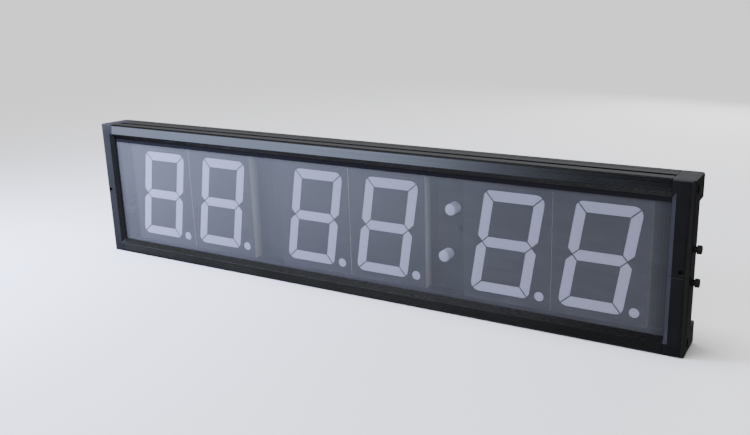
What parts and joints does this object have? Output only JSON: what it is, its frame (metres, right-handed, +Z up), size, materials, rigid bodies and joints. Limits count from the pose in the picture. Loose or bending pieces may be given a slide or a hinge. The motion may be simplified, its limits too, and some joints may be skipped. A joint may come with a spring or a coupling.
{
  "type": "gym round timer",
  "caption": "Wide wall timer with leaning seven-segment LED digits behind a smoked window, aluminium rails, plastic end caps and push-buttons on one end.",
  "frame": {"origin": "centre of the case's base, half way between front and back", "axes": "+X towards the viewer's right, along the case; +Y from the display to the back; +Z up"},
  "size_m": [0.7164, 0.04, 0.16],
  "materials": {
    "rail": "black anodised, satin, with fine extrusion lines",
    "cap": "black, moulded with a fine spark texture",
    "lens": "clear smoked acrylic, polished",
    "digit_face": "grey, matt, with white side walls",
    "diffuser": "milky white epoxy, satin, unlit",
    "circuit_board": "black solder mask over glass fibre",
    "rear_sheet": "black powder coat, fine orange peel",
    "button": "black, semi-gloss",
    "steel": "zinc plated",
    "component": "black moulded epoxy or insulation"
  },
  "bodies": {
    "case": {"top_rail": "rail", "bottom_rail": "rail", "left_upper_cap": "cap", "left_lower_cap": "cap", "right_upper_cap": "cap", "right_lower_cap": "cap", "front_lens": "lens", "digit_1_housing": "digit_face", "digit_1_diffuser": "diffuser", "digit_1_led_board": "circuit_board", "digit_2_housing": "digit_face", "digit_2_diffuser": "diffuser", "digit_2_led_board": "circuit_board", "digit_3_housing": "digit_face", "digit_3_diffuser": "diffuser", "digit_3_led_board": "circuit_board", "digit_4_housing": "digit_face", "digit_4_diffuser": "diffuser", "digit_4_led_board": "circuit_board", "digit_5_housing": "digit_face", "digit_5_diffuser": "diffuser", "digit_5_led_board": "circuit_board", "digit_6_housing": "digit_face", "digit_6_diffuser": "diffuser", "digit_6_led_board": "circuit_board", "colon_upper_lamp": "diffuser", "colon_lower_lamp": "diffuser", "remote_receiver": "component", "left_display_board": "circuit_board", "centre_display_board": "circuit_board", "right_display_board": "circuit_board", "controller_board": "circuit_board", "microcontroller": "component", "lamp_driver": "component", "buzzer": "component", "backup_cell": "steel", "smoothing_capacitor": "steel", "power_lead": "component", "button_lead": "component", "display_cable": "component", "upper_switch_body": "component", "lower_switch_body": "component", "button_board": "circuit_board", "button_board_screw": "steel", "rear_cover": "rear_sheet", "power_inlet": "component", "inlet_nut": "steel", "left_upper_cap_screw": "steel", "left_upper_cover_screw": "steel", "left_lower_cap_screw": "steel", "left_lower_cover_screw": "steel", "right_upper_cap_screw": "steel", "right_upper_cover_screw": "steel", "right_lower_cap_screw": "steel", "right_lower_cover_screw": "steel"},
    "upper_button": {"upper_button_cap": "button", "upper_switch_plunger": "component"},
    "lower_button": {"lower_button_cap": "button", "lower_switch_plunger": "component"}
  },
  "joints": [
    {"name": "upper_button_press", "type": "slide", "parent": "case", "child": "upper_button", "axis": [-1, 0, 0], "range_m": [0, 0.0012], "stiffness_N_per_m": 400},
    {"name": "lower_button_press", "type": "slide", "parent": "case", "child": "lower_button", "axis": [-1, 0, 0], "range_m": [0, 0.0012], "stiffness_N_per_m": 400}
  ]
}
